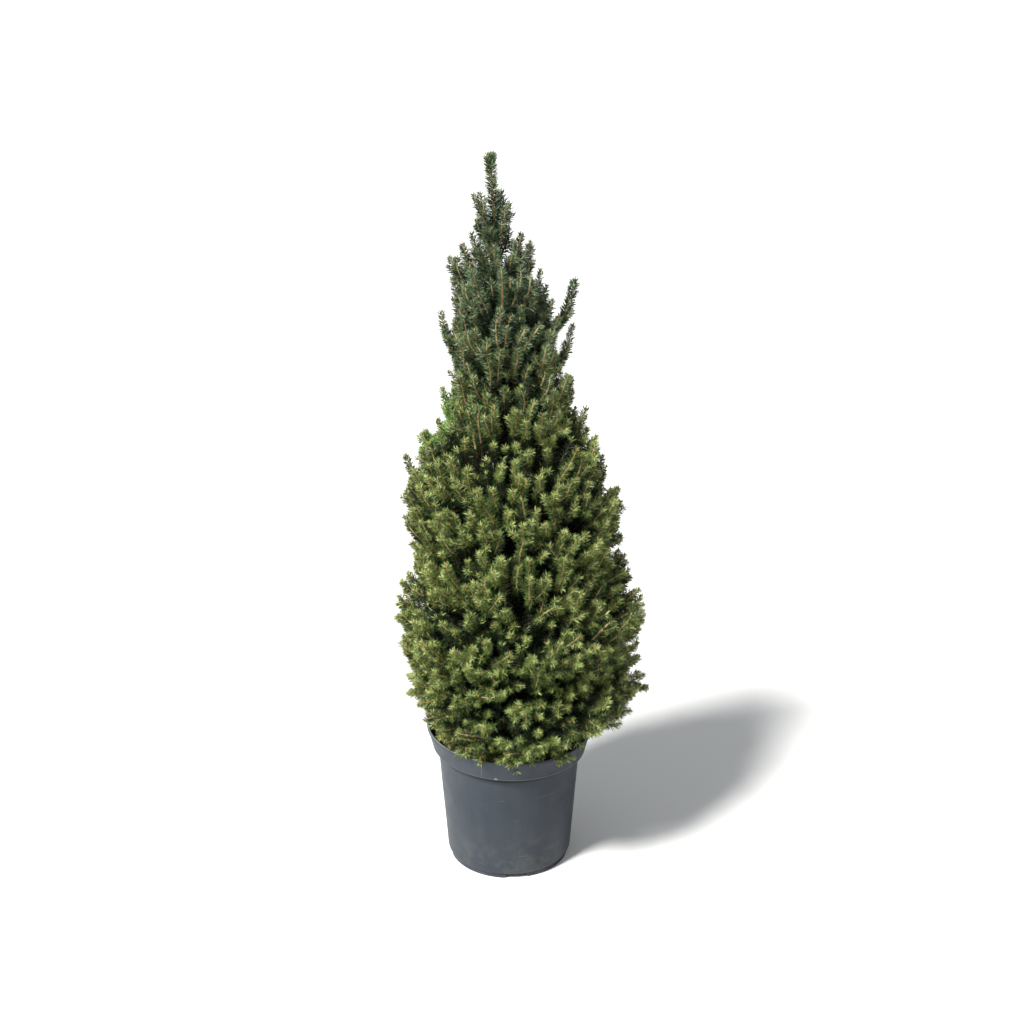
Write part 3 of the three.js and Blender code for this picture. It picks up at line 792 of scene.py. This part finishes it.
# A few shoots have died back and left dark hollows: bearing in degrees, height, half width.
hollows = [(-83, 0.497, 0.022), (-88, 0.738, 0.015), (-117, 0.705, 0.010), (-47, 0.600, 0.011)]
hollows += [(-90, 0.812, 0.014), (-122, 0.275, 0.014), (-70, 0.262, 0.012), (-50, 0.236, 0.020)]
hollows += [(-182, 0.218, 0.030), (-20, 0.213, 0.024), (6, 0.210, 0.024)]


def in_hollow(points):
    """True where points near the outline lie in one of the hollows."""
    bearing, radius = round_trunk(points)
    inside_one = np.zeros(len(points), bool)
    for turn_degrees, z, size in hollows:
        aside = radius * np.sin(bearing - math.radians(turn_degrees))
        facing = np.cos(bearing - math.radians(turn_degrees)) > 0
        inside_one |= facing & (np.hypot(aside, (points[:, 2] - z) * 0.6) < size)
    return inside_one


rim_inside = 0.106  # below the rim, shoots have to stop inside the pot's wall


def shoots_to(spacing, depth, stray, unevenness, low=0.212, high=0.955, hollow=True):
    """Shoots from the branchlets to free places at a depth, some reaching further by stray."""
    tip, out = places_under_outline(spacing, depth, low, high, 0.22)
    way = rising_way(tip, out, 0.38, unevenness)
    beyond = rng.normal(size=len(tip)) * stray
    tip = tip + way * np.clip(beyond, -0.018, 0.016)[:, None]
    through_wall = (tip[:, 2] < pot_height + 0.002) & (np.hypot(tip[:, 0], tip[:, 1]) > rim_inside)
    kept = ~(in_hollow(tip) & hollow) & ~through_wall
    tip, out, way = tip[kept], out[kept], way[kept]
    nodes = np.concatenate([branchlet_line[:, 2:].reshape(-1, 3), bough_line[:, 3:].reshape(-1, 3)])
    usual = np.interp(tip[:, 2], [0.3, 0.45, 0.6, 0.9], [0.052, 0.064, 0.072, 0.074])
    reach_back = (usual * rng.uniform(0.8, 1.2, len(tip)))[:, None]
    node = node_behind(tip, unit(way + 0.25 * out), reach_back, nodes)
    line = limbs_between(nodes[node], tip, way, 7, 0.4)
    length = lengths_of(line)
    kept = (length > 0.018) & (length < 0.13)
    return line[kept], length[kept]


shoot_line, shoot_length = shoots_to(0.0262, 0.007, 0.009, 9)
inner_line, inner_length = shoots_to(0.027, 0.028, 0.004, 14, 0.225)
inmost_line, inmost_length = shoots_to(0.025, 0.056, 0.012, 20, 0.222, 0.87, False)
core_line, core_length = shoots_to(0.026, 0.082, 0.010, 20, 0.25, 0.80, False)


def dealt_out(count):
    """For the count of things on each twig: every thing's twig, and its turn on that twig."""
    twig = np.repeat(np.arange(len(count)), count)
    return twig, np.arange(len(twig)) - np.repeat(np.cumsum(count) - count, count)


def places_along(line, twig, s):
    """Places a part s of the way along twigs, and which way each twig runs there."""
    points = line.shape[1]
    k = np.minimum((s * (points - 1)).astype(int), points - 2)
    part = (s * (points - 1) - k)[:, None]
    a, b = line[twig, k], line[twig, k + 1]
    return a + (b - a) * part, unit(b - a)


def turned(across, tangent, roll):
    """A vector across a twig, turned round the twig by roll."""
    over = np.cross(across, tangent)
    return across * np.cos(roll)[:, None] + over * np.sin(roll)[:, None]


def side_shoots(line, length, first, last, spacing, longest, opening):
    """Short shoots on the sides of longer ones, between two places along them."""
    count = np.maximum(((last - first) * length / spacing).astype(int), 0)
    parent, order = dealt_out(count)
    s = first + (last - first) * (order + rng.uniform(0.1, 0.9, len(parent))) / np.maximum(count[parent], 1)
    foot, tangent = places_along(line, parent, s)
    roll = math.pi * order + rng.normal(size=len(parent)) * 0.8
    aside = turned(unit(np.cross(tangent, UP) + 1e-5), tangent, roll)
    opening = np.radians(opening + rng.normal(size=len(parent)) * 8)[:, None]
    way = tangent * np.cos(opening) + aside * np.sin(opening)
    own = np.minimum((1 - s) * length[parent] * 0.7 + 0.008, longest) * rng.uniform(0.7, 1.15, len(parent))
    tip_way = unit(way * 0.7 + tangent * 0.3 + UP * 0.15)
    side_line = limbs_between(foot, foot + unit(way + 0.4 * tip_way) * own[:, None], tip_way, 4)
    return side_line, lengths_of(side_line), parent


side_line, side_length, side_parent = side_shoots(shoot_line, shoot_length, 0.25, 0.72, 0.023, 0.026, 42)

# ------------------------------------------------------------------ leader and lone shoots
# Above the crown the leader stands alone, ringed by steep limbs that end at all heights
# round it. Three more limbs stand clear at the shoulders, one long plume stands off to the
# right, and one low shoot reaches past the rim.
steep_limbs = [  # tip, then the height at which the limb leaves the trunk
    ((-0.047, -0.008, 1.042), 0.985),
    ((-0.010, 0.020, 1.042), 0.990),
    ((0.001, -0.006, 1.029), 0.965),
    ((-0.042, -0.016, 1.010), 0.965),
    ((-0.024, -0.024, 0.998), 0.945),
    ((-0.036, -0.028, 0.968), 0.900),
    ((0.012, -0.028, 0.975), 0.900),
    ((-0.030, 0.028, 1.006), 0.950),
    ((0.001, 0.014, 0.992), 0.940),
    ((0.018, -0.014, 0.990), 0.905),
    ((-0.052, 0.012, 0.985), 0.920),
    ((-0.063, -0.012, 0.975), 0.880),
    ((-0.020, -0.044, 0.978), 0.890),
    ((0.031, 0.016, 0.972), 0.880),
    ((0.004, -0.036, 0.962), 0.870),
    ((-0.082, 0.004, 0.954), 0.840),
    ((-0.050, -0.045, 0.945), 0.840),
    ((0.010, 0.048, 0.955), 0.865),
    ((-0.050, 0.046, 0.950), 0.850),
    ((0.045, 0.010, 0.934), 0.830),
    ((0.030, -0.040, 0.935), 0.830),
    ((0.092, -0.004, 0.922), 0.790),
    ((0.061, -0.010, 0.896), 0.770),
    ((-0.095, -0.008, 0.878), 0.760),
    ((0.090, 0.006, 0.855), 0.735),
    ((0.054, 0.060, 0.900), 0.790),
    ((-0.064, 0.062, 0.898), 0.780),
    ((0.000, 0.085, 0.892), 0.780),
    ((-0.095, -0.010, 0.768), 0.655),
    ((-0.150, -0.006, 0.664), 0.570),
    ((0.111, -0.006, 0.736), 0.640),
]
steep_tip = np.array([tip for tip, _ in steep_limbs])
steep_foot = trunk_at([foot for _, foot in steep_limbs])
aside = steep_tip - trunk_at(steep_tip[:, 2])
aside[:, 2] = 0
steep_way = unit(UP + unit(aside) * 0.22 + rng.normal(size=aside.shape) * 0.05)
steep_line = limbs_between(steep_foot, steep_tip, steep_way, 12, 0.55)
steep_length = lengths_of(steep_line)
steep_side, steep_side_length, parent = side_shoots(steep_line, steep_length, 0.3, 0.78, 0.0095, 0.024, 27)
plume = 21
on_plume_tip = (parent == plume) & (steep_side[:, -1, 2] > 0.885)
steep_side, steep_side_length = steep_side[~on_plume_tip], steep_side_length[~on_plume_tip]

spire_line = trunk_at(np.linspace(0.94, trunk_tip + 0.006, 9))[None]
spire_length = lengths_of(spire_line)
prong_foot = trunk_at([trunk_tip - 0.012, trunk_tip - 0.016])
prong_tip = trunk_at([trunk_tip, trunk_tip]) + np.array([(0.005, 0.001, 0.009), (-0.005, -0.002, 0.007)])
prong_line = limbs_between(prong_foot, prong_tip, unit(np.array([(0.2, 0, 1.0), (-0.2, 0, 1.0)])), 4)
prong_length = lengths_of(prong_line)

# The lowest shoots of all lie on the lip of the pot, and a few hang over it.
rim_turn = np.concatenate([np.arange(-127, -62, 6.5), [-55.0], np.arange(22, 165, 12.0)])
rim_turn = np.radians(rim_turn + rng.normal(size=len(rim_turn)) * 1.5)
rim_out = level_way(rim_turn)
rim_reach = 0.124 + rng.normal(size=len(rim_turn)) * 0.003
rim_drop = rng.uniform(-0.003, 0.003, len(rim_turn))
overhanging = rim_turn.tolist().index(max(rim_turn[rim_turn < -0.8]))
rim_reach[overhanging], rim_drop[overhanging] = 0.143, -0.001
rim_tip = trunk_at(0.224 - rim_drop - 0.03 * rim_out[:, 0] * rim_reach) + rim_out * rim_reach[:, None]
rim_foot = trunk_at(rng.uniform(0.22, 0.235, len(rim_turn))) + rim_out * 0.045
rim_way = unit(rim_out - UP * (0.1 + 20 * rim_drop[:, None]))
rim_line = limbs_between(rim_foot, rim_tip, rim_way, 10, 0.4)
rim_length = lengths_of(rim_line)
rim_side, rim_side_length, _ = side_shoots(rim_line, rim_length, 0.5, 0.92, 0.010, 0.02, 42)

stray_low, stray_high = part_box("stray_shoot")
stray_tip = np.array([(stray_high.x - 0.005, (stray_low.y + stray_high.y) / 2, stray_high.z - 0.006)])
stray_foot = trunk_at([0.222]) + (0.03, -0.005, 0.0)
stray_way = unit(np.array([(1.0, -0.05, 0.12)]))
stray_line = limbs_between(stray_foot, stray_tip, stray_way, 12, 0.6)
stray_length = lengths_of(stray_line)
stray_side, stray_side_length, _ = side_shoots(stray_line, stray_length, 0.62, 0.92, 0.011, 0.018, 40)

# ------------------------------------------------------------------ twig bark
# Young spruce wood is bare between its needles: tan in the last two years' shoots and
# grey-brown where it is older.
tan_tones = [(0.47, 0.32, 0.15), (0.58, 0.41, 0.2), (0.36, 0.23, 0.1)]
twig_tones = [new_material(f"tan_twig_{i + 1}", tone, 0.6, 0.4) for i, tone in enumerate(tan_tones)]
old_twig = new_material("grey_brown_twig", (0.11, 0.07, 0.045), 0.8, 0.3)


def twig_piece(name, groups):
    """One mesh of many tubes; groups are (lines, foot radius, tip radius, sides, age).

    A young twig too is grey-brown where it runs deep inside the crown."""
    verts, walls, shades, offset = [], [], [], 0
    grey_brown = len(twig_tones)
    for line, foot_thick, tip_thick, sides, age in groups:
        radii = np.linspace(foot_thick, tip_thick, line.shape[1])[None].repeat(len(line), 0)
        v, f, _ = tubes(line, radii, sides)
        walls.append(f[0] + offset)
        shade = grey_brown if age == "old" else rng.integers(0, grey_brown, (len(line), 1))
        shaded = crown_depth((line[:, 1:] + line[:, :-1]) / 2) > 0.026
        shades.append(np.repeat(np.where(shaded, grey_brown, shade), sides))
        verts.append(v)
        offset += len(v)
    walls = np.concatenate(walls)
    shades = np.concatenate(shades)
    piece = joined_mesh(name, np.concatenate(verts), [walls], [*twig_tones, old_twig], shades, True)
    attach(piece, "root")
    return piece


twig_piece(
    "branchlet_twigs",
    [
        (branchlet_line, 0.0016, 0.0009, 4, "old"),
        (steep_line, 0.0022, 0.0009, 5, "young"),
        (stray_line, 0.0022, 0.0008, 5, "old"),
        (rim_line, 0.0018, 0.0008, 4, "old"),
        (inner_line, 0.0011, 0.0007, 3, "young"),
        (inmost_line, 0.0012, 0.0007, 3, "old"),
        (core_line, 0.0012, 0.0007, 3, "old"),
    ],
)
twig_piece(
    "shoot_twigs",
    [
        (shoot_line, 0.0018, 0.0011, 4, "young"),
        (side_line, 0.0008, 0.0006, 3, "young"),
        (steep_side, 0.0009, 0.0006, 3, "young"),
        (prong_line, 0.0012, 0.0009, 4, "young"),
        (stray_side, 0.0009, 0.0006, 3, "young"),
        (rim_side, 0.0009, 0.0006, 3, "young"),
    ],
)

# ------------------------------------------------------------------ needles
# Short, stiff, four-sided needles stand all round each shoot and lean towards its tip.
# They are blue-green high up and yellow-green below, brightest on the newest growth.
needle_tones = {
    "deep_blue": (0.022, 0.046, 0.024),
    "sea_green": (0.09, 0.145, 0.07),
    "bottle_green": (0.020, 0.040, 0.011),
    "mid_green": (0.084, 0.134, 0.033),
    "moss_green": (0.178, 0.24, 0.062),
    "fresh_green": (0.41, 0.485, 0.18),
    "mint_green": (0.22, 0.37, 0.10),
    "silver_green": (0.27, 0.35, 0.2),
    "shaded_green": (0.016, 0.026, 0.009),
    "dry_brown": (0.2, 0.12, 0.05),
}
needle_materials = [new_material("needles_" + name, tone, 0.38, 0.42) for name, tone in needle_tones.items()]
tone_index = {name: i for i, name in enumerate(needle_tones)}
needle_length = 0.0108
needle_width = 0.0013


def needles_on(line, length, per_metre, clad, stout=1.0, long=1.0, spray=None):
    """Needles of many twigs: their folded kites, sprays and distances from the twig's tip."""
    spray = np.arange(len(line)) if spray is None else spray
    clad = np.minimum(clad, length)
    count = np.maximum((clad * per_metre).astype(int), 6)
    twig, order = dealt_out(count)
    along = (order + rng.uniform(0, 1, len(twig))) / count[twig]
    s = 1 - (1 - along) * (clad / length)[twig]
    foot, tangent = places_along(line, twig, s)
    reference = np.where(abs(tangent[:, 2:]) > 0.8, (1.0, 0, 0), (0, 0, 1.0))
    roll = golden * order + rng.normal(size=len(twig)) * 0.35
    outward = turned(unit(np.cross(tangent, reference)), tangent, roll)
    from_tip = (1 - s) * length[twig]
    lean = np.interp(from_tip, [0, 0.002, 0.006, 0.015, 0.03], [26, 42, 52, 58, 62])
    lean = np.radians(lean + rng.normal(size=len(twig)) * 8)[:, None]
    way = unit(tangent * np.cos(lean) + outward * np.sin(lean))
    size = needle_length * np.interp(from_tip, [0, 0.004, 0.012], [0.75, 0.95, 1])
    size = size * long * rng.uniform(0.8, 1.15, len(twig))
    twist = rng.uniform(0, math.pi, len(twig))[:, None]
    flat = unit(np.cross(way, tangent) + 1e-4)
    side = flat * np.cos(twist) + np.cross(way, flat) * np.sin(twist)
    fold = np.cross(way, side)
    half = needle_width / 2 * stout
    middle = foot + way * (0.4 * size)[:, None] + fold * half * 0.8
    corners = np.stack([foot, middle + side * half, foot + way * size[:, None], middle - side * half], 1)
    return corners, spray[twig], from_tip


main_sprays = len(shoot_line)
needle_sets = [
    needles_on(shoot_line, shoot_length, 3900, 0.076),
    needles_on(side_line, side_length, 2700, 0.03, spray=side_parent),
    needles_on(inner_line, inner_length, 1500, 0.045, 1.2),
    needles_on(inmost_line, inmost_length, 850, 0.05, 2.0, 1.3),
    needles_on(core_line, core_length, 850, 0.06, 2.6, 1.6),
    needles_on(branchlet_line, branchlet_length, 900, 0.045, 1.2),
    needles_on(steep_line, steep_length, 4400, 0.085, 1.0, 1.1),
    needles_on(steep_side, steep_side_length, 3000, 0.04, 1.0, 1.1),
    needles_on(spire_line, spire_length, 7600, 0.125, 1.0, 1.3),
    needles_on(prong_line, prong_length, 3600, 0.02),
    needles_on(steep_line[[plume]], steep_length[[plume]], 4200, 0.1, 1.0, 1.35, np.full(1, plume)),
    needles_on(rim_line, rim_length, 3600, 0.06),
    needles_on(rim_side, rim_side_length, 3000, 0.03),
    needles_on(stray_line, stray_length, 3000, 0.09),
    needles_on(stray_side, stray_side_length, 2600, 0.03),
]
corners = np.concatenate([n[0] for n in needle_sets])
spray = np.concatenate([n[1] for n in needle_sets])
from_tip = np.concatenate([n[2] for n in needle_sets])
foot = corners[:, 0]
depth = crown_depth(foot)

spray_luck = rng.uniform(size=main_sprays + 2000)
luck = spray_luck[spray] * 0.7 + 0.15 + rng.normal(size=len(spray)) * 0.2
height = foot[:, 2] + rng.normal(size=len(foot)) * 0.015
blueness = np.clip((height - 0.7) / 0.2, 0, 1)
upper = np.where(luck + 0.25 * (from_tip < 0.01) > 0.6, tone_index["sea_green"], tone_index["deep_blue"])
shaded_tones = [tone_index["bottle_green"], tone_index["mid_green"]]
lower = np.select([luck < 0.25, luck < 0.65], shaded_tones, tone_index["moss_green"])
new_growth = (from_tip < 0.006) & (rng.uniform(size=len(foot)) < 0.6 * (1 - blueness) + 0.05)
new_growth |= (depth < 0.02) & (rng.uniform(size=len(foot)) < 0.1)
young_tone = np.where(luck > 0.45, tone_index["fresh_green"], tone_index["moss_green"])
lower = np.where(new_growth, young_tone, lower)
near_outline = np.abs(depth) < 0.02
upper = np.where(near_outline & (rng.uniform(size=len(foot)) < 0.26), tone_index["silver_green"], upper)

# The sprays on the left shoulder are the freshest of all.
near_shoulder = np.linalg.norm((foot - (-0.108, -0.012, 0.722)) / (1, 1, 1.2), axis=1) < 0.042
lower = np.where(near_shoulder & (depth < 0.03) & (luck > 0.2), tone_index["mint_green"], lower)
tone = np.where(rng.uniform(size=len(foot)) < blueness, upper, lower)
# Needles deep inside the crown get a dark green, and the deepest a near-black green: painted shade.
tone = np.where((depth > 0.03) & (tone > 1), tone_index["bottle_green"], tone)
tone = np.where(depth > 0.045, tone_index["shaded_green"], tone)
tone = np.where(rng.uniform(size=len(foot)) < 0.005, tone_index["dry_brown"], tone)

# The needles are dealt into one piece for each whorl of masses, by height, with the lowest
# two divisions moved down to even out the pieces. The last four sets, on the rim and stray
# shoots, make a piece of their own.
whorls = ["skirt", "lower", "belly", "mid", "shoulder", "upper", "crest"]
middles = []
for name in whorls:
    members = [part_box(node) for node in masses if node.startswith(name + "_")]
    middles.append(sum((low.z + high.z) / 2 for low, high in members) / len(members))
bounds_between = [(a + b) / 2 for a, b in zip(middles, middles[1:])]
bounds_between[0] -= 0.010
bounds_between[1] -= 0.012
band = np.searchsorted(bounds_between, foot[:, 2])
lone = sum(len(needle_set[0]) for needle_set in needle_sets[-4:])
band[-lone:] = len(whorls)
for i, name in enumerate([*whorls, "rim"]):
    mine = band == i
    count = int(mine.sum())
    first = 4 * np.arange(count)[:, None]
    triangles = np.concatenate([first + (0, 1, 2), first + (0, 2, 3)], 1).reshape(-1, 3)
    shades = np.repeat(tone[mine], 2)
    points = corners[mine].reshape(-1, 3)
    piece = joined_mesh(f"needles_{name}", points, [triangles], needle_materials, shades)
    nodes = [node for node in masses if node.startswith(name + "_")]
    if name == "crest":
        nodes += ["leader", "right_plume"]
    if name == "rim":
        nodes = ["stray_shoot"]
    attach(piece, "root")
    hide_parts(*nodes)

# ------------------------------------------------------------------ buds
# Every shoot ends in a small pointed bud of brown scales, a little wider than the twig that
# carries it. Only those near the outline can be seen.
bud_radius = 0.0011
bud_tones = [(0.36, 0.17, 0.06), (0.5, 0.27, 0.08)]
bud_materials = [new_material(f"bud_{i + 1}", colour, 0.55) for i, colour in enumerate(bud_tones)]
all_tips = [(shoot_line, 1.1), (side_line, 0.85), (steep_line, 1.2), (steep_side, 0.9), (prong_line, 1.2)]
all_tips += [(spire_line, 1.3), (stray_line, 1.1), (stray_side, 0.9), (rim_line, 1.1), (rim_side, 0.9)]
tip = np.concatenate([line[:, -1] for line, _ in all_tips])
way = np.concatenate([unit(line[:, -1] - line[:, -2]) for line, _ in all_tips])
thick = np.concatenate([np.full(len(line), bud_radius * k) for line, k in all_tips])
thick = thick * rng.uniform(0.8, 1.2, len(tip))
outer = crown_depth(tip) < 0.05
tip, way, thick = tip[outer], way[outer], thick[outer]
across = unit(np.cross(way, (0.31, 0.73, 0.61)))
over = np.cross(across, way)
turns = 2 * math.pi * np.arange(4) / 4
ring = across[:, None] * np.cos(turns)[:, None] + over[:, None] * np.sin(turns)[:, None]
waist = tip[:, None] + way[:, None] * 0.0007 + ring * thick[:, None, None]
point = (tip + way * (3.2 * thick)[:, None])[:, None]
base = (tip - way * 0.001)[:, None]
bud_verts = np.concatenate([base, waist, point], 1)
bud_faces = [(0, 2, 1), (0, 3, 2), (0, 4, 3), (0, 1, 4), (5, 1, 2), (5, 2, 3), (5, 3, 4), (5, 4, 1)]
bud_faces = (np.array(bud_faces)[None] + 6 * np.arange(len(tip))[:, None, None]).reshape(-1, 3)
bud_shades = np.repeat(rng.integers(0, 2, len(tip)), 8)
buds = joined_mesh("buds", bud_verts.reshape(-1, 3), [bud_faces], bud_materials, bud_shades, smooth=True)
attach(buds, "root")

# ------------------------------------------------------------------ floor, light, camera
# A plain pale floor, a broad key light from the upper left, and an even, bright room. The
# camera stands a little over two metres off and looks down at the crown.
floor_mesh = bpy.data.meshes.new("floor")
far = 40.0
floor_mesh.from_pydata([(-far, -far, 0), (far, -far, 0), (far, far, 0), (-far, far, 0)], [], [(0, 1, 2, 3)])
floor = bpy.data.objects.new("floor", floor_mesh)
bpy.context.scene.collection.objects.link(floor)
floor_mesh.materials.append(new_material("pale_floor", (0.86, 0.86, 0.85), 0.9, 0.1))

world = bpy.data.worlds.new("room")
world.use_nodes = True
world.node_tree.nodes["Background"].inputs["Color"].default_value = (0.93, 0.96, 1.0, 1)
world.node_tree.nodes["Background"].inputs["Strength"].default_value = 0.44
bpy.context.scene.world = world


def sun(name, strength, softness, turn_degrees, rise_degrees, colour=(1, 1, 1)):
    """A distant lamp; turn is its bearing round the plant, counted from the viewer's side."""
    lamp = bpy.data.lights.new(name, "SUN")
    lamp.energy = strength
    lamp.angle = math.radians(softness)
    lamp.color = colour
    holder = bpy.data.objects.new(name, lamp)
    a, e = math.radians(turn_degrees), math.radians(rise_degrees)
    towards = Vector((math.sin(a) * math.cos(e), -math.cos(a) * math.cos(e), math.sin(e)))
    holder.rotation_euler = towards.to_track_quat("Z", "Y").to_euler()
    bpy.context.scene.collection.objects.link(holder)


sun("key", 6.9, 13, -46, 50, (1.0, 0.985, 0.95))

camera_data = bpy.data.cameras.new("camera")
camera_data.lens = 55.83
camera_data.sensor_width = 36
camera_data.clip_end = 200
camera = bpy.data.objects.new("camera", camera_data)
camera.location = (0.0047, -2.2, 1.4145)
camera.rotation_euler = (math.radians(69.1), 0, 0)
bpy.context.scene.collection.objects.link(camera)
bpy.context.scene.camera = camera
bpy.context.scene.view_settings.view_transform = "Standard"
